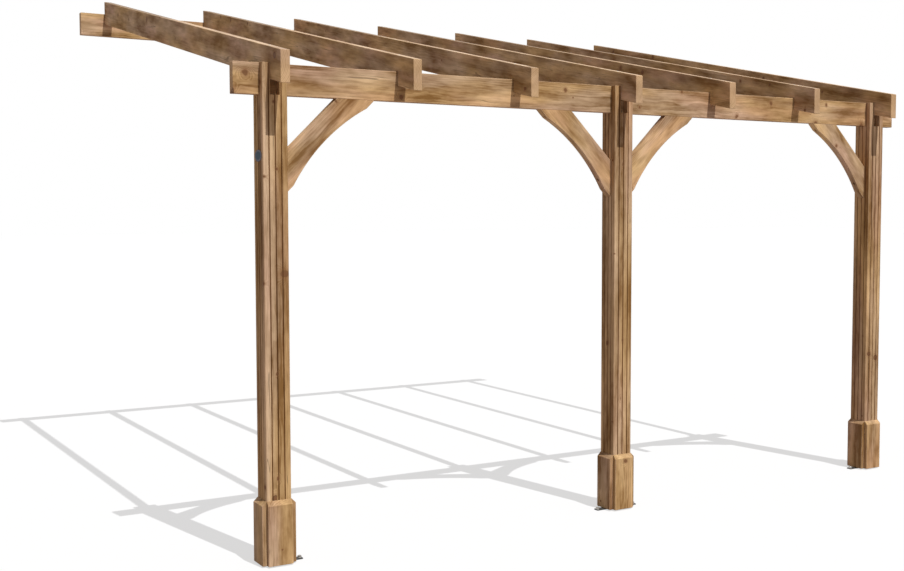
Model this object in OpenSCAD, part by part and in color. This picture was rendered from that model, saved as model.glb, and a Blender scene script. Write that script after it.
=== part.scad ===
// Lean-to pergola: three grooved posts carry a front beam, seven notched
// rafters run from the beam up to a wall plate, and four arched braces
// stiffen the posts.  Millimetres, +Z up.  The origin is on the ground at
// the centre of the middle post; the house wall is at +Y.

/* [Frame] */
// Distance between the centres of neighbouring posts
bay = 1975; // [1500:5:2400]
// Height of the beam's top edge and of the post heads above the ground
beam_top = 2325; // [2000:5:2700]
// Distance from the posts' centre line to the house wall
wall_y = 3052; // [2200:2:3600]

/* [Timber] */
// Thickness of the beam, wall plate, rafters and braces
board_t = 45; // [38:1:54]
// Depth of the front beam
beam_h = 145; // [130:1:180]
// Depth of the wall plate
plate_h = 145; // [130:1:180]
// Depth of a rafter, square to its length
rafter_h = 145; // [125:1:180]
// Beam overhang past the centre of an outer post
beam_over = 183; // [120:1:300]
// Wall plate overhang past the centre of an outer rafter
plate_over = 175; // [100:1:300]
// Clearance at each side of a slot, notch or housing
joint_gap = 0.5; // [0.2:0.1:1]

/* [Posts] */
// Width of a square post
post_w = 120; // [110:1:150]
// Width of a groove in a post face
groove_w = 7; // [4:0.5:10]
// Depth of a groove in a post face
groove_d = 4.5; // [2:0.5:6]
// Chamfer on the long edges of a post
post_edge = 3; // [1:0.5:6]

/* [Roof] */
// Pitch of the rafters in degrees
pitch = 11.3; // [6:0.1:16]
// Rafter overhang in front of the posts' centre line
tail = 196; // [130:1:300]
// Depth of a rafter's notch over the beam, at the beam's front face
notch_d = 68; // [50:1:75]
// Depth of a rafter's housing in the wall plate
housing_d = 12; // [6:1:20]

/* [Braces] */
// Length of a brace's foot along the post and of its head along the beam
brace_leg = 453; // [380:1:560]
// Width of a brace, square to its straight upper edge
brace_w = 137; // [110:1:150]
// Height of the arch cut from a brace's lower edge
arch_rise = 38; // [20:1:60]
// Straight length left at each end of the arch
arch_land = 58; // [45:1:90]
// Diameter of a screw pocket in a brace
pocket_dia = 16; // [12:1:18]
// Distance of the post's screw pocket from the brace's lower tip
pocket_low = 92; // [60:1:110]
// Distance of the beam's screw pocket from the brace's upper tip
pocket_high = 42; // [36:1:60]
// Wood left under a screw's head at the bottom of its pocket
pocket_seat = 24; // [15:1:28]
// Diameter of a brace screw's hole
screw_dia = 6; // [5:0.5:8]

/* [Skirt boards] */
// Thickness of a skirt board
skirt_t = 22; // [16:1:28]
// Height of a skirt board's upper end above the ground
skirt_h = 310; // [200:5:500]
// Angle of a skirt board's bevelled top
skirt_bevel = 45; // [20:1:55]

/* [Feet] */
// Reach of a foot's steel strap beyond the post's centre
foot_reach = 133; // [125:1:170]
// Width of a foot's steel strap
foot_w = 36; // [30:1:80]
// Thickness of a foot's steel strap
foot_t = 5; // [4:0.5:10]
// Rounding of the strap's corners
foot_corner = 6; // [3:1:15]
// Distance of an anchor hole from the post's centre
anchor_reach = 120; // [110:1:125]
// Diameter of an anchor hole
anchor_dia = 12; // [10:0.5:16]
// Diameter of the dowel that stands in the post
dowel_dia = 20; // [12:1:30]
// Length of the dowel inside the post
dowel_l = 120; // [60:1:200]

/* [Hidden] */
$fn = 64;

// Strips across a post face and rafter spaces in a bay
strips = 4;
spaces = 3;

// Extra length of a cut that runs out of its piece
cut = 10;

slot_w = board_t + 2 * joint_gap;
beam_under = beam_top - beam_h;
plate_front = wall_y - board_t;
rafter_end = plate_front + housing_d - joint_gap;

// Height of a rafter's underside and top at a distance y from the posts
function rafter_under(y) = beam_top - notch_d + (y + board_t / 2) * tan(pitch);
function rafter_top(y) = rafter_under(y) + rafter_h / cos(pitch);

// The plate takes the rafters as deep as the beam does
plate_top = rafter_under(plate_front) + notch_d;

// Arch of a brace, from half its chord and its rise
arch_half = brace_leg / sqrt(2) - arch_land;
arch_r = (pow(arch_half, 2) + pow(arch_rise, 2)) / (2 * arch_rise);
arch_mid = brace_leg / 2 + (arch_r - arch_rise) / sqrt(2);
brace_inner = brace_leg - brace_w * sqrt(2);

timber = "#b08a62";
steel = "#616264";

// One face of a post's outline, with a V groove between each two strips
function face_points() = concat(
    [[-post_w / 2 + post_edge, -post_w / 2]],
    [for (i = [1 : strips - 1]) let (x = post_w * (i / strips - 0.5)) each [
        [x - groove_w / 2, -post_w / 2],
        [x, -post_w / 2 + groove_d],
        [x + groove_w / 2, -post_w / 2]
    ]],
    [[post_w / 2 - post_edge, -post_w / 2]]
);

function turned(p, a) = [p.x * cos(a) - p.y * sin(a), p.x * sin(a) + p.y * cos(a)];

module post_outline() {
    polygon([for (q = [0 : 3]) for (p = face_points()) turned(p, 90 * q)]);
}

// A slot down from the post head, running along X
module head_slot() {
    translate([-post_w / 2 - cut, -slot_w / 2, beam_under])
        cube([post_w + 2 * cut, slot_w, beam_h + cut]);
}

// Grooved post with crossed slots in its head and a bore for the foot's dowel
module post(x) {
    color(timber)
        translate([x, 0, 0])
            difference() {
                translate([0, 0, foot_t])
                    linear_extrude(beam_top - foot_t) post_outline();
                head_slot();
                rotate([0, 0, 90]) head_slot();
                translate([0, 0, foot_t - cut])
                    cylinder(d = dowel_dia + 2 * joint_gap, h = dowel_l + 2 * joint_gap + cut);
            }
}

// Extrudes a profile drawn in the YZ plane by a width centred on x
module across(x, width) {
    translate([x - width / 2, 0, 0])
        rotate([90, 0, 90])
            linear_extrude(width) children();
}

module front_beam() {
    color(timber)
        translate([-bay - beam_over, -board_t / 2, beam_under])
            cube([2 * (bay + beam_over), board_t, beam_h]);
}

// Wall plate with an open housing for each rafter's end
module wall_plate() {
    color(timber)
        difference() {
            translate([-bay - plate_over, plate_front, plate_top - plate_h])
                cube([2 * (bay + plate_over), board_t, plate_h]);
            for (i = [0 : 2 * spaces])
                across(-bay + i * bay / spaces, slot_w)
                    polygon([
                        [plate_front - cut, rafter_under(plate_front - cut)],
                        [plate_front + housing_d, rafter_under(plate_front + housing_d)],
                        [plate_front + housing_d, plate_top + cut],
                        [plate_front - cut, plate_top + cut]
                    ]);
        }
}

// Rafter with plumb ends, notched over the beam; number 1 is the left one
module rafter(number) {
    notch = board_t / 2 + joint_gap;
    color(timber)
        across(-bay + (number - 1) * bay / spaces, board_t)
            polygon([
                [-tail, rafter_under(-tail)],
                [-notch, rafter_under(-notch)],
                [-notch, beam_top],
                [notch, beam_top],
                [notch, rafter_under(notch)],
                [rafter_end, rafter_under(rafter_end)],
                [rafter_end, rafter_top(rafter_end)],
                [-tail, rafter_top(-tail)]
            ]);
}

// Screw hole square to the post's face with a pocket for the screw's head
module pocket(below_beam) {
    translate([0, 0, -below_beam]) rotate([0, 90, 0]) {
        translate([0, 0, -cut]) cylinder(d = screw_dia, h = brace_leg);
        translate([0, 0, pocket_seat]) cylinder(d = pocket_dia, h = brace_leg);
    }
}

// Arched brace at the post at x; side is 1 to its right and -1 to its left
module brace(x, side) {
    color(timber)
        translate([x, 0, beam_under])
            mirror([side < 0 ? 1 : 0, 0, 0])
                translate([post_w / 2, 0, 0])
                    difference() {
                        translate([0, board_t / 2, 0])
                            rotate([90, 0, 0])
                                linear_extrude(board_t)
                                    difference() {
                                        polygon([
                                            [brace_inner, 0], [brace_leg, 0],
                                            [0, -brace_leg], [0, -brace_inner]
                                        ]);
                                        translate([arch_mid, -arch_mid]) circle(r = arch_r, $fn = 180);
                                    }
                        pocket(brace_leg - pocket_low);
                        mirror([1, 0, 1]) pocket(brace_leg - pocket_high);
                    }
}

// Skirt board on the post at x, just clear of the foot's strap; turn 0 is
// its front face and 1 its right face
module skirt(x, turn) {
    under = foot_t + joint_gap;
    color(timber)
        translate([x, 0, 0])
            rotate([0, 0, 90 * turn])
                across(0, post_w)
                    polygon([
                        [-post_w / 2 - skirt_t, under],
                        [-post_w / 2, under],
                        [-post_w / 2, skirt_h],
                        [-post_w / 2 - skirt_t, skirt_h - skirt_t * tan(skirt_bevel)]
                    ]);
}

module rounded_rectangle(length, width, r) {
    square([length - 2 * r, width], center = true);
    square([length, width - 2 * r], center = true);
    for (x = [-1, 1], y = [-1, 1])
        translate([x * (length / 2 - r), y * (width / 2 - r)]) circle(r = r);
}

// Steel foot: a strap with a dowel for the post and an anchor hole in each
// end that reaches out; sides lists these ends, 1 to the right and -1 to
// the left, and an end that is not listed stops under the post
module foot(x, sides) {
    hidden = post_w / 2 - foot_w / 2;
    left = len(search(-1, sides)) > 0 ? foot_reach : hidden;
    right = len(search(1, sides)) > 0 ? foot_reach : hidden;
    color(steel)
        translate([x, 0, 0]) {
            difference() {
                translate([(right - left) / 2, 0, 0])
                    linear_extrude(foot_t)
                        rounded_rectangle(left + right, foot_w, foot_corner);
                for (side = sides)
                    translate([side * anchor_reach, 0, -cut])
                        cylinder(d = anchor_dia, h = foot_t + 2 * cut);
            }
            cylinder(d = dowel_dia, h = foot_t + dowel_l);
        }
}

post(-bay);  // post_left
post(0);  // post_middle
post(bay);  // post_right
front_beam();
wall_plate();
rafter(1);  // rafter_1
rafter(2);  // rafter_2
rafter(3);  // rafter_3
rafter(4);  // rafter_4
rafter(5);  // rafter_5
rafter(6);  // rafter_6
rafter(7);  // rafter_7
brace(-bay, 1);  // brace_left
brace(0, -1);  // brace_middle_left
brace(0, 1);  // brace_middle_right
brace(bay, -1);  // brace_right
skirt(-bay, 0);  // skirt_left_front
skirt(-bay, 1);  // skirt_left_right
skirt(-bay, 2);  // skirt_left_back
skirt(-bay, 3);  // skirt_left_left
skirt(0, 0);  // skirt_middle_front
skirt(0, 1);  // skirt_middle_right
skirt(0, 2);  // skirt_middle_back
skirt(0, 3);  // skirt_middle_left
skirt(bay, 0);  // skirt_right_front
skirt(bay, 1);  // skirt_right_right
skirt(bay, 2);  // skirt_right_back
skirt(bay, 3);  // skirt_right_left
foot(-bay, [1]);  // foot_left
foot(0, [-1, 1]);  // foot_middle
foot(bay, [-1]);  // foot_right
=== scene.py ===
import math
import random

import bmesh
import bpy
from mathutils import Matrix, Vector


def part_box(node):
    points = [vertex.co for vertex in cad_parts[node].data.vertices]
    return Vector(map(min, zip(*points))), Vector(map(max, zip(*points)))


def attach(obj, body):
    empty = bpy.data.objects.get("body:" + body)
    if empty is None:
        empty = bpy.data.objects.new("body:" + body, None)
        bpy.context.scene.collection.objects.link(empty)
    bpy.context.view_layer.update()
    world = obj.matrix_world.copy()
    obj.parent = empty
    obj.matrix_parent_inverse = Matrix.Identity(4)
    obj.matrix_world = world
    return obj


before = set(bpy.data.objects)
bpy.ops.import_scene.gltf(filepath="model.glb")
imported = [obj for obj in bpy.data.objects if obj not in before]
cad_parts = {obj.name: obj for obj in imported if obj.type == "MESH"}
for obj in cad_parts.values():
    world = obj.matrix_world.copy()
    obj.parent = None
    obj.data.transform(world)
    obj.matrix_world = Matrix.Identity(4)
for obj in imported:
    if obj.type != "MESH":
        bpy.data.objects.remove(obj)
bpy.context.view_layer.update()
print("frame loaded:", len(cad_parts), "pieces")


# A Wire is one socket of a node, and Python's signs on it add the nodes that do that sum.
class Wire:
    def __init__(self, graph, socket):
        self.graph = graph
        self.socket = socket

    def other(self, name):  # another output of the same node
        return Wire(self.graph, self.socket.node.outputs[name])

    def __add__(self, value):
        return self.graph.maths("ADD", self, value)

    def __radd__(self, value):
        return self.graph.maths("ADD", value, self)

    def __sub__(self, value):
        return self.graph.maths("SUBTRACT", self, value)

    def __rsub__(self, value):
        return self.graph.maths("SUBTRACT", value, self)

    def __mul__(self, value):
        return self.graph.maths("MULTIPLY", self, value)

    def __rmul__(self, value):
        return self.graph.maths("MULTIPLY", value, self)

    def __truediv__(self, value):
        return self.graph.maths("DIVIDE", self, value)

    def __abs__(self):
        return self.graph.maths("ABSOLUTE", self)


# A Graph fills one node tree.
class Graph:
    def __init__(self, tree):
        tree.nodes.clear()
        self.tree = tree

    def add(self, kind, settings, sockets, output=0):
        node = self.tree.nodes.new(kind)
        for name, value in settings.items():
            setattr(node, name, value)
        for key, value in sockets.items():
            if isinstance(value, Wire):
                self.tree.links.new(value.socket, node.inputs[key])
            else:
                node.inputs[key].default_value = value
        return Wire(self, node.outputs[output]) if len(node.outputs) else None

    def maths(self, operation, *values):
        return self.add("ShaderNodeMath", {"operation": operation}, dict(enumerate(values)))

    def vectors(self, operation, *values, output="Vector"):
        sockets = dict(enumerate(values))
        return self.add("ShaderNodeVectorMath", {"operation": operation}, sockets, output)

    def join(self, x, y, z=0.0):
        return self.add("ShaderNodeCombineXYZ", {}, {0: x, 1: y, 2: z})

    def split(self, vector):
        first = self.add("ShaderNodeSeparateXYZ", {}, {0: vector})
        return first, first.other("Y"), first.other("Z")

    def noise(self, place, detail=2.0, roughness=0.5):
        sockets = {"Vector": place, "Scale": 1.0, "Detail": detail, "Roughness": roughness}
        return self.add("ShaderNodeTexNoise", {}, sockets)

    def rise(self, value, low, high):  # smoothly from 0 at low to 1 at high
        sockets = {"Value": value, "From Min": low, "From Max": high}
        return self.add("ShaderNodeMapRange", {"interpolation_type": "SMOOTHSTEP"}, sockets)

    def blend(self, share, first, second, mode="MIX"):
        settings = {"data_type": "RGBA", "blend_type": mode}
        return self.add("ShaderNodeMix", settings, {0: share, 6: first, 7: second}, 2)

    def shade(self, colour, amount):
        settings = {"operation": "SCALE"}
        return self.add("ShaderNodeVectorMath", settings, {"Vector": colour, "Scale": amount})

    def bump(self, height, depth):
        sockets = {"Strength": 1.0, "Distance": depth, "Height": height}
        return self.add("ShaderNodeBump", {}, sockets)

    def surface(self, sockets):
        shader = self.add("ShaderNodeBsdfPrincipled", {}, sockets)
        self.add("ShaderNodeOutputMaterial", {}, {"Surface": shader})


def newMaterial(name):
    material = bpy.data.materials.new(name)
    material.use_nodes = True
    return material, Graph(material.node_tree)


# Timber. Each board has its own material, because its rings run round its own heart line. The
# pattern is worked out in the board's directions: u along the grain, v across the wide face and
# w through the thickness.
timberLook = {
    "dark": (0.226, 0.117, 0.040, 1),
    "pale": (0.732, 0.506, 0.289, 1),
    "warm": (1.03, 1.00, 0.84, 1),
    "cool": (0.965, 1.00, 1.10, 1),
    "flush": (1.01, 0.95, 1.03, 1),
    "topHighlight": (0.72, 0.56, 0.43, 1),  # painted highlight: faces turned up are paler, as where the sun falls from above
    "topTowardWall": (0.200, 0.150, 0.115, 1),  # the tops of the rafters are darker towards the wall
    "knot": (0.150, 0.062, 0.026, 1),
    "knotHalo": (0.265, 0.130, 0.055, 1),
    "check": (0.050, 0.026, 0.014, 1),
    "worn": (0.56, 0.375, 0.225, 1),
    "endGrain": (0.64, 0.440, 0.255, 1),
    "endRing": (0.44, 0.265, 0.140, 1),
    "grooveShade": (0.28, 0.165, 0.085, 1),
    "sideShade": (0.94, 0.89, 0.81, 1),  # painted shade: the sideways faces of a post are a little darker and redder
    "ringWidth": 0.0078,
    "heartDrift": 0.040,  # how far the heart line wanders along a board
    "knotsPerMetre": 2.3,
    "knotsPerTurn": 6.0,
    "knotShare": 0.50,  # share of the branch places that have a knot
    "knotRadius": 0.014,
    "checkDepth": 0.5,
    "roughness": 0.74,
    "sheen": 0.12,
    "bumpDepth": 0.0009,
}


def timberMaterial(name, board):
    look = timberLook
    dice = random.Random(board["seed"])
    material, graph = newMaterial(name)
    rise = graph.rise
    texture = graph.add("ShaderNodeTexCoord", {}, {}, "Object")
    turn = Matrix((board["along"], board["across"], board["through"])).transposed()
    local = graph.add(
        "ShaderNodeMapping",
        {"vector_type": "TEXTURE"},
        {"Vector": texture, "Location": board["centre"], "Rotation": turn.to_euler()},
    )
    u, v, w = graph.split(local)

    def stretched(alongRate, acrossRate):  # a place for a texture, different on each board
        shift = [dice.uniform(-40, 40) for _ in range(3)]
        return graph.vectors("MULTIPLY_ADD", local, (alongRate, acrossRate, acrossRate), shift)

    # distance and direction from the wandering heart line
    drift = look["heartDrift"]
    heart = [-drift / 2 - board["heart"][0], -drift / 2 - board["heart"][1]]
    wander = graph.noise(stretched(0.75, 1.6), 1.5).other("Color")
    wander = graph.vectors("MULTIPLY_ADD", wander, (0, drift, drift), (0, *heart))
    fromHeart = graph.vectors("MULTIPLY_ADD", local, (0, 1, 1), wander)
    radius = graph.vectors("LENGTH", fromHeart, output="Value")
    heartV, heartW = graph.split(fromHeart)[1:]
    angle = graph.maths("ARCTAN2", heartV, heartW)

    # knots are branches that grow straight out from the heart
    alongRate = look["knotsPerMetre"] * board["knottiness"]
    roundRate = look["knotsPerTurn"] / math.tau
    branchU = u * alongRate + dice.uniform(0, 90)
    branchV = angle * roundRate + dice.uniform(0, 90)
    places = {"Vector": graph.join(branchU, branchV), "Scale": 1.0, "Randomness": 0.9}
    branch = graph.add("ShaderNodeTexVoronoi", {"voronoi_dimensions": "2D"}, places, "Position")
    halfway = {"voronoi_dimensions": "2D", "feature": "DISTANCE_TO_EDGE"}
    toNext = graph.add("ShaderNodeTexVoronoi", halfway, places, "Distance")
    middleU, middleV = graph.split(branch)[:2]
    apartU = (branchU - middleU) / alongRate
    apartV = (branchV - middleV) / roundRate * radius
    fromKnot = graph.vectors("LENGTH", graph.join(apartU, apartV), output="Value")
    luck, girth, age = graph.split(branch.other("Color"))
    grown = graph.maths("GREATER_THAN", luck, 1 - look["knotShare"])
    knotRadius = grown * (girth * girth * 0.8 + 0.2) * look["knotRadius"] + 0.0002
    ragged = graph.noise(stretched(70, 70), 2.0)
    ratio = fromKnot / knotRadius + (ragged - 0.5) * 0.7 + rise(toNext, 0.10, 0.0) * 4.0
    knot = rise(ratio, 1.25, 0.75)
    rim = rise(ratio, 0.75, 1.0) * rise(ratio, 1.3, 1.0) * rise(age, 0.45, 0.8)
    halo = rise(ratio, 2.6, 0.9)
    collar = rise(ratio, 4.2, 1.0)
    knotRings = graph.maths("SINE", fromKnot * (math.tau / 0.0026)) * 0.5 + 0.5

    # growth rings, bent round the knots
    unsteady = graph.noise(stretched(6.5, 18), 2.0)
    years = (radius - collar * knotRadius * 1.7) / look["ringWidth"] + unsteady * 1.9
    year = graph.maths("FLOOR", years)
    season = graph.maths("FRACT", years)
    strength = graph.add("ShaderNodeTexWhiteNoise", {"noise_dimensions": "1D"}, {"W": year})
    late = rise(season, 0.2, 0.86) * rise(season, 1.0, 0.9) * (strength * 0.6 + 0.4)

    # whether this is an end
    normal = graph.add("ShaderNodeTexCoord", {}, {}, "Normal")
    facing = abs(graph.vectors("DOT_PRODUCT", normal, board["along"], output="Value"))
    endGrain = rise(facing, 0.62, 0.85)

    # fibres, uneven stain, patches of tone, and drying checks
    fibre = graph.noise(stretched(14, 330), 3.0, 0.6)
    streak = graph.noise(stretched(5.0, 80), 3.0, 0.6)
    mottle = graph.noise(stretched(15, 40), 3.0, 0.58)
    patch = graph.noise(stretched(board["patchRate"], 13), 2.0, 0.5)
    tints = graph.noise(stretched(board["patchRate"] * 0.6, 7.0), 2.5).other("Color")
    warmth, clarity, flush = graph.split(tints)
    crack = graph.noise(stretched(1.1, 24), 1.0)
    checks = rise(abs(crack - 0.5), 0.008, 0.002) * rise(patch, 0.52, 0.66) * look["checkDepth"]
    checks = checks * (1.0 - endGrain)

    # how near the sawn piece's long edges are
    sideV = board["halfWide"] - abs(v)
    sideW = board["halfThick"] - abs(w)
    if "archMiddle" in board:
        reach = graph.vectors("LENGTH", graph.join(u, v - board["archMiddle"]), output="Value")
        sideV = graph.maths("MINIMUM", sideV, reach - board["archRadius"])
    toEdge = graph.maths("MAXIMUM", sideV, sideW)
    rub = graph.noise(stretched(14, 40), 2.0)
    worn = rise(toEdge + (rub - 0.5) * 0.006, 0.0045, 0.0005) * 0.55
    normalX = graph.split(normal)[0]
    sideways = abs(normalX)
    upward = rise(normalX.other("Z"), 0.8, 0.97)

    rings = late * (rise(clarity, 0.38, 0.62) * 0.75 + 0.45) * board["ringContrast"]
    uneven = mottle * 0.55 + patch * 1.90 + streak * 0.40 + fibre * 0.45 - rings - 1.59
    flushed = rise(flush, 0.46, 0.66)
    tone = uneven * board["contrast"] + flushed * 0.04 + board["tone"] + 0.445
    if "stripWidth" in board:  # the strips of a grooved post differ a little
        strips = [graph.maths("FLOOR", side * (0.999 / board["stripWidth"])) for side in (v, w)]
        strip = strips[0] + strips[1] * 7.0 + board["seed"]
        lift = graph.add("ShaderNodeTexWhiteNoise", {"noise_dimensions": "1D"}, {"W": strip})
        tone = tone + lift * 0.14 - 0.07 - v * board["lean"] * (1.0 - sideways)
    colour = graph.blend(tone, look["dark"], look["pale"])
    tint = graph.blend(rise(warmth, 0.36, 0.64), look["warm"], look["cool"])
    colour = graph.blend(1.0, colour, tint, "MULTIPLY")
    colour = graph.blend(flushed, colour, look["flush"], "MULTIPLY")
    # painted shade on the sideways faces of a post
    if "stripWidth" in board:
        colour = graph.blend(sideways, colour, look["sideShade"], "MULTIPLY")
    # painted highlight: upward faces made paler, as if lit from above
    colour = graph.blend(upward * (patch * 0.8 + 0.1), colour, look["topHighlight"])
    growth = rise(season, 0.1, 0.9) * rise(season, 1.0, 0.9) * (strength * 0.5 + 0.5)
    sawn = graph.blend(growth, look["endGrain"], look["endRing"])
    colour = graph.blend(endGrain * 0.65, colour, sawn)
    colour = graph.blend(worn, colour, look["worn"])
    # rafter tops darken towards the wall
    if board["kind"] == "rafter":
        topTowardWallShare = upward * rise(u, -0.05, 0.35) * (patch * 0.6 + 0.4)
        colour = graph.blend(topTowardWallShare, colour, look["topTowardWall"])
    if "stripWidth" in board:  # and the grooves get painted shade, darker inside the recess
        sunk = graph.maths("MINIMUM", sideV, sideW)
        groove = rise(sunk, 0.0002, 0.0020) * rise(sunk, 0.0064, 0.0054) * rise(toEdge, 0.008, 0.014)
        colour = graph.blend(groove * 0.9, colour, look["grooveShade"], "MULTIPLY")
    colour = graph.blend(halo * 0.55, colour, look["knotHalo"])
    knotColour = graph.blend(knotRings * 0.45, look["knot"], look["knotHalo"])
    colour = graph.blend(knot * 0.8, colour, knotColour)
    colour = graph.blend(graph.maths("MAXIMUM", rim * 0.7, checks), colour, look["check"])

    height = late * 0.30 + fibre * 0.45 + knot * 0.25 - checks * 1.6 - rim * 0.5
    graph.surface({
        "Base Color": colour,
        "Roughness": look["roughness"] - late * 0.1 - knot * 0.14 + fibre * 0.08,
        "Specular IOR Level": look["sheen"],
        "Normal": graph.bump(height, look["bumpDepth"]),
    })
    return material


# The timber pieces, as they lie in the frame.
layout = {
    "bay": 1.975,
    "postWidth": 0.120,
    "boardWide": 0.145,
    "boardThick": 0.045,
    "beamTop": 2.325,
    "pitch": math.radians(11.3),
    "notch": 0.068,
    "braceLeg": 0.453,
    "braceWide": 0.137,
    "archRise": 0.038,
    "archLand": 0.058,
    "skirtThick": 0.022,
}
beamUnder = layout["beamTop"] - layout["boardWide"]


def rafterUnder(y):
    start = layout["beamTop"] - layout["notch"]
    return start + (y + layout["boardThick"] / 2) * math.tan(layout["pitch"])


# How much paler or darker than the rest a kind of piece is, or one piece.
boardTone = {
    "post": 0.015,
    "post_left": -0.075,
    "post_middle": -0.015,
    "skirt": -0.04,
    "brace": 0.05,
    "wall": 0.12,
    "rafter": -0.045,
    "rafter_1": 0.010,
    "rafter_6": -0.070,
    "rafter_7": -0.075,
}


# How the kinds are figured: patches of tone to the metre along the grain, the strength of those
# patches and of the rings, and how many knots.
boardFigure = {
    "post": {"patchRate": 1.3, "contrast": 1.15, "ringContrast": 0.23, "knots": 1.0},
    "skirt": {"patchRate": 2.0, "contrast": 1.15, "ringContrast": 0.23, "knots": 1.0},
    "front": {"patchRate": 3.0, "contrast": 1.15, "ringContrast": 0.23, "knots": 1.4},
    "wall": {"patchRate": 4.0, "contrast": 1.15, "ringContrast": 0.23, "knots": 1.4},
    "rafter": {"patchRate": 4.0, "contrast": 1.05, "ringContrast": 0.17, "knots": 1.4},
    "brace": {"patchRate": 4.0, "contrast": 1.15, "ringContrast": 0.17, "knots": 1.4},
}


def boardOf(name, number):
    dice = random.Random(100 + number)
    kind = name.split("_")[0]
    figure = boardFigure[kind]
    low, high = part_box(name)
    board = {
        "kind": kind,
        "seed": number,
        "centre": (low + high) / 2,
        "halfWide": layout["boardWide"] / 2,
        "halfThick": layout["boardThick"] / 2,
        "heart": (dice.uniform(-0.035, 0.035), dice.choice((-1, 1)) * dice.uniform(0.070, 0.120)),
        "tone": dice.uniform(-0.04, 0.04) + boardTone.get(name, boardTone.get(kind, 0.0)),
        "contrast": figure["contrast"],
        "patchRate": figure["patchRate"],
        "ringContrast": figure["ringContrast"],
        "knottiness": dice.uniform(0.8, 1.25) * figure["knots"],
    }
    along, across = Vector((1, 0, 0)), Vector((0, 0, 1))
    if name.startswith("post"):
        along, across = Vector((0, 0, 1)), Vector((1, 0, 0))
        board["halfWide"] = board["halfThick"] = layout["postWidth"] / 2
        board["stripWidth"] = layout["postWidth"] / 4
        board["lean"] = dice.uniform(1.2, 3.0)  # how much the front darkens across its strips
        board["heart"] = (dice.uniform(-0.018, 0.018), dice.uniform(-0.018, 0.018))
    elif name.startswith("skirt"):
        along = Vector((0, 0, 1))
        across = Vector((0, 1, 0)) if name.endswith(("_left", "_right")) else Vector((1, 0, 0))
        board["halfWide"] = layout["postWidth"] / 2
        board["halfThick"] = layout["skirtThick"] / 2
    elif name.startswith("rafter"):
        along = Vector((0, math.cos(layout["pitch"]), math.sin(layout["pitch"])))
        across = Vector((0, -along.z, along.y))
        middle = rafterUnder(board["centre"].y) + layout["boardWide"] / math.cos(layout["pitch"]) / 2
        board["centre"].z = middle
    elif name.startswith("brace"):
        side = -1 if name in ("brace_middle_left", "brace_right") else 1
        along = Vector((side, 0, 1)).normalized()
        across = Vector((-side, 0, 1)).normalized()
        corner = Vector((low.x if side > 0 else high.x, 0, beamUnder))
        outer = layout["braceLeg"] / math.sqrt(2)
        middle = outer - layout["braceWide"] / 2
        half = outer - layout["archLand"]
        radius = (half ** 2 + layout["archRise"] ** 2) / (2 * layout["archRise"])
        board["centre"] = corner - across * middle
        board["halfWide"] = layout["braceWide"] / 2
        board["archRadius"] = radius
        board["archMiddle"] = -(outer + radius - layout["archRise"] - middle)
    board["along"], board["across"] = along, across
    board["through"] = along.cross(across)
    return board


# Steel feet and fixings
steelLook = {
    "dark": (0.050, 0.049, 0.046, 1),
    "pale": (0.125, 0.123, 0.115, 1),
    "dust": (0.20, 0.165, 0.12, 1),
    "roughness": 0.52,
    "bumpDepth": 0.00025,
}


def steelMaterial():
    look = steelLook
    material, graph = newMaterial("weathered_zinc")
    place = graph.add("ShaderNodeTexCoord", {}, {}, "Object")
    spangle = graph.add(
        "ShaderNodeTexVoronoi",
        {"voronoi_dimensions": "3D"},
        {"Vector": place, "Scale": 140.0},
        "Color",
    )
    flake = graph.split(spangle)[0]
    smear = graph.noise(graph.shade(place, 38.0), 4.0, 0.65)
    grain = graph.noise(graph.shade(place, 900.0), 1.0)
    dusty = graph.rise(smear, 0.56, 0.72) * 0.35
    colour = graph.blend(flake * 0.4 + smear * 0.6, look["dark"], look["pale"])
    colour = graph.blend(dusty, colour, look["dust"])
    graph.surface({
        "Base Color": colour,
        "Roughness": look["roughness"] + smear * 0.16 + dusty * 0.4 - flake * 0.08,
        "Metallic": 0.6 - dusty,
        "Normal": graph.bump(grain + smear * 0.6, look["bumpDepth"]),
    })
    return material


zincLook = {
    "bright": (0.62, 0.61, 0.58, 1),
    "dull": (0.40, 0.385, 0.35, 1),
    "roughness": 0.34,
    "bumpDepth": 0.0001,
}


def zincMaterial():
    look = zincLook
    material, graph = newMaterial("zinc_plate")
    place = graph.add("ShaderNodeTexCoord", {}, {}, "Object")
    bloom = graph.noise(graph.shade(place, 260.0), 3.0, 0.6)
    cloud = graph.noise(graph.shade(place, 60.0), 2.0)
    dulled = graph.rise(bloom * 0.5 + cloud * 0.5, 0.4, 0.62)
    graph.surface({
        "Base Color": graph.blend(dulled, look["bright"], look["dull"]),
        "Roughness": look["roughness"] + bloom * 0.25,
        "Metallic": 1.0,
        "Normal": graph.bump(bloom, look["bumpDepth"]),
    })
    return material


# Edges are eased, as planed timber and cut steel have them.
easing = {
    "post": 0.0015,
    "front": 0.003,
    "wall": 0.003,
    "rafter": 0.003,
    "brace": 0.003,
    "skirt": 0.002,
    "foot": 0.0008,
}


def ease(piece, width):
    merge = piece.modifiers.new("merge", "WELD")
    merge.merge_threshold = 1e-5
    join = piece.modifiers.new("join_flat_faces", "DECIMATE")
    join.decimate_type = "DISSOLVE"
    join.angle_limit = math.radians(0.5)
    edge = piece.modifiers.new("ease_edges", "BEVEL")
    edge.width = width
    edge.segments = 3
    edge.limit_method = "ANGLE"
    edge.angle_limit = math.radians(35)
    edge.use_clamp_overlap = True
    edge.harden_normals = True


steel = steelMaterial()
zinc = zincMaterial()
for number, (name, piece) in enumerate(sorted(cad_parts.items())):
    if name.startswith("foot"):
        material = steel
    else:
        material = timberMaterial("timber_" + name, boardOf(name, number))
    piece.data.materials[0] = material
    ease(piece, easing[name.split("_")[0]])
print("timber and steel finished")


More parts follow.
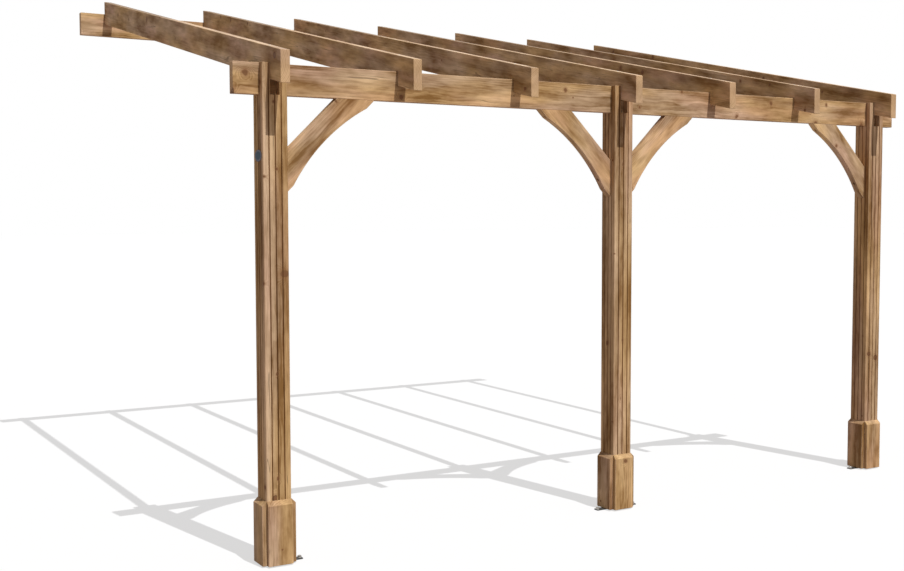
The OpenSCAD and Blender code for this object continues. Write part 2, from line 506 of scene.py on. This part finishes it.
# Heads are turned shapes: rings of points, each with its own radius and height at every angle.
def turnedMesh(name, rings, steps):
    mesh = bpy.data.meshes.new(name)
    form = bmesh.new()
    loops = []
    for radiusAt, heightAt in rings:
        loop = []
        for step in range(steps):
            angle = math.tau * step / steps
            radius = radiusAt(angle)
            place = (radius * math.cos(angle), radius * math.sin(angle), heightAt(angle))
            loop.append(form.verts.new(place))
        loops.append(loop)
    for lower, upper in zip(loops, loops[1:]):
        for step in range(steps):
            following = (step + 1) % steps
            form.faces.new((lower[step], lower[following], upper[following], upper[step]))
    form.faces.new(reversed(loops[0]))
    form.faces.new(loops[-1])
    bmesh.ops.recalc_face_normals(form, faces=form.faces)
    form.to_mesh(mesh)
    form.free()
    return mesh


def plain(value):
    return lambda angle: value


screwHead = {
    "radius": 0.006,
    "height": 0.0030,
    "recess": 0.0026,
    "recessDepth": 0.0020,
    "shank": 0.0028,
    "shankDepth": 0.004,
}


def screwMesh():
    head = screwHead

    def lobes(scale):  # six-lobe drive
        return lambda angle: head["recess"] * scale * (1 + 0.16 * math.cos(6 * angle))

    radius, height = head["radius"], head["height"]
    rings = [
        (plain(head["shank"]), plain(-head["shankDepth"])),
        (plain(head["shank"]), plain(0.0)),
        (plain(radius * 0.97), plain(0.0)),
        (plain(radius), plain(height * 0.22)),
        (plain(radius * 0.96), plain(height * 0.50)),
        (plain(radius * 0.78), plain(height * 0.84)),
        (plain(radius * 0.62), plain(height)),
        (lobes(1.0), plain(height)),
        (lobes(0.94), plain(height - head["recessDepth"])),
        (plain(head["recess"] * 0.3), plain(height - head["recessDepth"] * 1.15)),
    ]
    return turnedMesh("screw_head", rings, 36)


anchorNut = {
    "washer": 0.0105,
    "washerHeight": 0.0020,
    "flats": 0.017,
    "height": 0.0080,
    "chamfer": 30,
    "stud": 0.005,
    "studEnd": 0.0020,
    "studDepth": 0.004,
}


def anchorMesh():
    head = anchorNut
    half = head["flats"] / 2

    def hexagon(angle):
        return half / math.cos((angle % (math.tau / 6)) - math.tau / 12)

    def shoulder(angle):
        fall = (hexagon(angle) - half * 0.93) * math.tan(math.radians(head["chamfer"]))
        return head["washerHeight"] + head["height"] - fall

    washer, base = head["washer"], head["washerHeight"]
    top = base + head["height"]
    stud, tip = head["stud"], top + head["studEnd"]
    rings = [
        (plain(stud), plain(-head["studDepth"])),
        (plain(stud), plain(0.0)),
        (plain(washer * 0.97), plain(0.0)),
        (plain(washer), plain(base * 0.3)),
        (plain(washer), plain(base * 0.75)),
        (plain(washer * 0.96), plain(base)),
        (hexagon, plain(base)),
        (hexagon, shoulder),
        (plain(half * 0.93), plain(top)),
        (plain(stud * 1.16), plain(top)),
        (plain(stud * 1.00), plain(top - 0.0008)),
        (plain(stud * 0.98), plain(top + head["studEnd"] * 0.5)),
        (plain(stud * 0.80), plain(tip)),
        (plain(stud * 0.20), plain(tip)),
    ]
    return turnedMesh("anchor_nut", rings, 48)


# Fixings are set out by a node tree: one head at each point, turned to face along the point's
# own direction and spun by chance.
def fixingTree():
    tree = bpy.data.node_groups.new("set_fixings", "GeometryNodeTree")
    graph = Graph(tree)
    face = tree.interface
    face.new_socket("Points", in_out="INPUT", socket_type="NodeSocketGeometry")
    face.new_socket("Head", in_out="INPUT", socket_type="NodeSocketObject")
    face.new_socket("Size", in_out="INPUT", socket_type="NodeSocketFloat")
    face.new_socket("Most Spin", in_out="INPUT", socket_type="NodeSocketFloat")
    face.new_socket("Seed", in_out="INPUT", socket_type="NodeSocketInt")
    face.new_socket("Finish", in_out="INPUT", socket_type="NodeSocketMaterial")
    face.new_socket("Fixings", in_out="OUTPUT", socket_type="NodeSocketGeometry")
    inputs = graph.add("NodeGroupInput", {}, {})
    facing = graph.add("GeometryNodeInputNamedAttribute", {"data_type": "FLOAT_VECTOR"}, {"Name": "facing"})
    turn = graph.add("FunctionNodeAlignRotationToVector", {"axis": "Z"}, {"Vector": facing})
    spin = graph.add(
        "FunctionNodeRandomValue",
        {"data_type": "FLOAT"},
        {"Min": 0.0, "Max": inputs.other("Most Spin"), "Seed": inputs.other("Seed")},
        "Value",
    )
    spun = graph.add("FunctionNodeAxisAngleToRotation", {}, {"Axis": (0, 0, 1), "Angle": spin})
    turned = graph.add(
        "FunctionNodeRotateRotation",
        {"rotation_space": "LOCAL"},
        {"Rotation": turn, "Rotate By": spun},
    )
    head = graph.add("GeometryNodeObjectInfo", {}, {"Object": inputs.other("Head")}, "Geometry")
    placed = graph.add(
        "GeometryNodeInstanceOnPoints",
        {},
        {"Points": inputs, "Instance": head, "Rotation": turned, "Scale": inputs.other("Size")},
    )
    solid = graph.add("GeometryNodeRealizeInstances", {}, {"Geometry": placed})
    finish = inputs.other("Finish")
    finished = graph.add("GeometryNodeSetMaterial", {}, {"Geometry": solid, "Material": finish})
    graph.add("NodeGroupOutput", {}, {"Fixings": finished})
    return tree


def setFixings(name, tree, places, headMesh, seed):
    points = bpy.data.meshes.new(name + "_points")
    points.from_pydata([place for place, facing in places], [], [])
    facings = points.attributes.new("facing", "FLOAT_VECTOR", "POINT")
    for index, (place, facing) in enumerate(places):
        facings.data[index].vector = facing
    layoutObject = bpy.data.objects.new(name + "_layout", points)
    head = bpy.data.objects.new(name + "_head", headMesh)
    bpy.context.scene.collection.objects.link(layoutObject)
    values = {"Head": head, "Size": 1.0, "Most Spin": math.tau, "Seed": seed, "Finish": zinc}
    modifier = layoutObject.modifiers.new("fixings", "NODES")
    modifier.node_group = tree
    for item in tree.interface.items_tree:
        if item.in_out == "INPUT" and item.name in values:
            modifier[item.identifier] = values[item.name]
    evaluated = layoutObject.evaluated_get(bpy.context.evaluated_depsgraph_get())
    mesh = bpy.data.meshes.new_from_object(evaluated)
    mesh.name = name
    bpy.data.objects.remove(layoutObject)
    bpy.data.objects.remove(head)
    fixings = bpy.data.objects.new(name, mesh)
    bpy.context.scene.collection.objects.link(fixings)
    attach(fixings, "root")


fixingPlaces = {
    "fromLowTip": 0.092,  # a brace's screw into the post
    "fromHighTip": 0.042,  # and its screw into the beam
    "pocketSeat": 0.024,
    "rafterScrewFromEnd": 0.045,
    "rafterScrewSunk": 0.0022,
    "anchorReach": 0.120,
    "strapTop": 0.005,
}


def bracePlaces():
    places = []
    face = layout["postWidth"] / 2
    for post, side in ((-1, 1), (0, -1), (0, 1), (1, -1)):
        x = post * layout["bay"] + side * (face + fixingPlaces["pocketSeat"])
        lowTip = beamUnder - layout["braceLeg"]
        places.append(((x, 0, lowTip + fixingPlaces["fromLowTip"]), (side, 0, 0)))
        highTip = face + layout["braceLeg"]
        x = post * layout["bay"] + side * (highTip - fixingPlaces["fromHighTip"])
        places.append(((x, 0, beamUnder - fixingPlaces["pocketSeat"]), (0, 0, -1)))
    return places


def rafterPlaces():
    places = []
    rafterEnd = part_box("rafter_1")[1].y
    upright = Vector((0, -math.sin(layout["pitch"]), math.cos(layout["pitch"])))
    depth = layout["boardWide"] / math.cos(layout["pitch"])
    for number in range(7):
        x = layout["bay"] * (number / 3 - 1)
        for y in (0.0, rafterEnd - fixingPlaces["rafterScrewFromEnd"]):
            z = rafterUnder(y) + depth - fixingPlaces["rafterScrewSunk"]
            places.append(((x, y, z), upright))
    return places


def anchorPlaces():
    places = []
    for post, side in ((-1, 1), (0, -1), (0, 1), (1, -1)):
        x = post * layout["bay"] + side * fixingPlaces["anchorReach"]
        places.append(((x, 0, fixingPlaces["strapTop"]), (0, 0, 1)))
    return places


tree = fixingTree()
setFixings("brace_screws", tree, bracePlaces(), screwMesh(), 3)
setFixings("rafter_screws", tree, rafterPlaces(), screwMesh(), 5)
setFixings("anchor_nuts", tree, anchorPlaces(), anchorMesh(), 8)
print("screws and bolts set")


# Blank oval tag on the side of the left post
tagLook = {
    "radius": 0.0275,
    "stretch": 1.6,  # how much wider than high it is
    "thickness": 0.0016,
    "centre": (-2.035, -0.002, 1.903),
    "middle": (0.022, 0.055, 0.085, 1),
    "rim": (0.120, 0.118, 0.145, 1),
    "roughness": 0.5,
    "sheen": 0.25,
}


def makeTag():
    look = tagLook
    material, graph = newMaterial("tag_plastic")
    texture = graph.add("ShaderNodeTexCoord", {}, {}, "Object")
    place = graph.vectors("SUBTRACT", texture, look["centre"])
    x, y, z = graph.split(place)
    out = graph.vectors("LENGTH", graph.join(y / look["stretch"], z), output="Value")
    cloud = graph.noise(graph.shade(place, 90.0), 3.0, 0.6)
    grain = graph.noise(graph.shade(place, 1500.0), 1.0)
    edge = graph.rise(out, look["radius"] * 0.66, look["radius"] * 0.72)
    colour = graph.blend(edge, look["middle"], look["rim"])
    colour = graph.shade(colour, cloud * 0.5 + 0.75)
    graph.surface({
        "Base Color": colour,
        "Roughness": look["roughness"] + cloud * 0.2,
        "Specular IOR Level": look["sheen"],
        "Normal": graph.bump(grain, 0.00008),
    })
    radius, thick = look["radius"], look["thickness"]
    rings = [
        (plain(radius * 0.985), plain(0.0)),
        (plain(radius), plain(thick * 0.25)),
        (plain(radius), plain(thick * 0.70)),
        (plain(radius * 0.985), plain(thick * 0.95)),
        (plain(radius * 0.965), plain(thick)),
        (plain(radius * 0.72), plain(thick)),
        (plain(radius * 0.70), plain(thick * 0.92)),
        (plain(radius * 0.68), plain(thick * 0.72)),
        (plain(radius * 0.40), plain(thick * 0.70)),
        (plain(radius * 0.10), plain(thick * 0.70)),
    ]
    mesh = turnedMesh("blank_tag", rings, 72)
    turn = Matrix.Rotation(math.radians(-90), 4, "Y")
    widen = Matrix.Diagonal((1, look["stretch"], 1, 1))
    mesh.transform(Matrix.Translation(look["centre"]) @ turn @ widen)
    mesh.materials.append(material)
    tag = bpy.data.objects.new("blank_tag", mesh)
    bpy.context.scene.collection.objects.link(tag)
    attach(tag, "root")


makeTag()
print("tag set")


# Floor, light and camera
setting = {
    "floorHalf": 60.0,
    "floorDrop": 0.001,
    "floorSeen": (0.86, 0.86, 0.86, 1),
    "floorBounce": (0.485, 0.434, 0.435, 1),
    "floorLift": 0.625,  # how much of the floor's own light the camera sees
    "sunTravels": (-0.10, 0.589, -1.0),
    "sunStrength": 3.5,
    "sunAngle": 0.3,
    "skyStrength": 0.23,
    "skyTint": (1.0, 0.94, 0.94, 1),
    "cameraPlace": (-3.982, -5.452, 1.684),
    "cameraTurn": (-32.88, -3.41, 0.14),  # heading, tilt and roll in degrees
    "lens": 48.76,
    "shift": (-0.10498, -0.0092),
}


def makeFloor():
    half = setting["floorHalf"]
    mesh = bpy.data.meshes.new("floor")
    z = -setting["floorDrop"]
    corners = [(-half, -half, z), (half, -half, z), (half, half, z), (-half, half, z)]
    mesh.from_pydata(corners, [], [(0, 1, 2, 3)])
    material, graph = newMaterial("pale_floor")
    ray = graph.add("ShaderNodeLightPath", {}, {}, "Is Camera Ray")
    tone = graph.blend(ray, setting["floorBounce"], setting["floorSeen"])
    matt = graph.add("ShaderNodeBsdfDiffuse", {}, {"Color": tone})
    glow = graph.add("ShaderNodeEmission", {}, {"Color": (1, 1, 1, 1), "Strength": 1.0})
    seen = graph.add("ShaderNodeMixShader", {}, {0: ray * setting["floorLift"], 1: matt, 2: glow})
    graph.add("ShaderNodeOutputMaterial", {}, {"Surface": seen})
    mesh.materials.append(material)
    floor = bpy.data.objects.new("floor", mesh)
    bpy.context.scene.collection.objects.link(floor)


def makeSky():
    world = bpy.data.worlds.new("studio")
    bpy.context.scene.world = world
    world.use_nodes = True
    graph = Graph(world.node_tree)
    path = graph.add("ShaderNodeLightPath", {}, {}, "Is Camera Ray")
    seen = path + path.other("Is Glossy Ray") + path.other("Is Transmission Ray")
    seen = graph.maths("MINIMUM", seen, 1.0)
    strength = seen * (1 - setting["skyStrength"]) + setting["skyStrength"]
    tint = graph.blend(seen, setting["skyTint"], (1, 1, 1, 1))
    glow = graph.add("ShaderNodeBackground", {}, {"Color": tint, "Strength": strength})
    graph.add("ShaderNodeOutputWorld", {}, {"Surface": glow})


def makeSun():
    light = bpy.data.lights.new("sun", "SUN")
    light.energy = setting["sunStrength"]
    light.angle = math.radians(setting["sunAngle"])
    sun = bpy.data.objects.new("sun", light)
    sun.rotation_euler = Vector(setting["sunTravels"]).to_track_quat("-Z", "Y").to_euler()
    bpy.context.scene.collection.objects.link(sun)


def makeCamera():
    heading, tilt, roll = (math.radians(value) for value in setting["cameraTurn"])
    lens = bpy.data.cameras.new("camera")
    lens.sensor_width = 36
    lens.lens = setting["lens"]
    lens.shift_x, lens.shift_y = setting["shift"]
    lens.clip_end = 200
    camera = bpy.data.objects.new("camera", lens)
    turn = (
        Matrix.Rotation(heading, 4, "Z")
        @ Matrix.Rotation(math.pi / 2 + tilt, 4, "X")
        @ Matrix.Rotation(roll, 4, "Z")
    )
    camera.matrix_world = Matrix.Translation(setting["cameraPlace"]) @ turn
    bpy.context.scene.collection.objects.link(camera)
    bpy.context.scene.camera = camera


makeFloor()
makeSky()
makeSun()
makeCamera()
bpy.context.scene.view_settings.view_transform = "Standard"
print("floor, light and camera set")

bpy.context.view_layer.update()
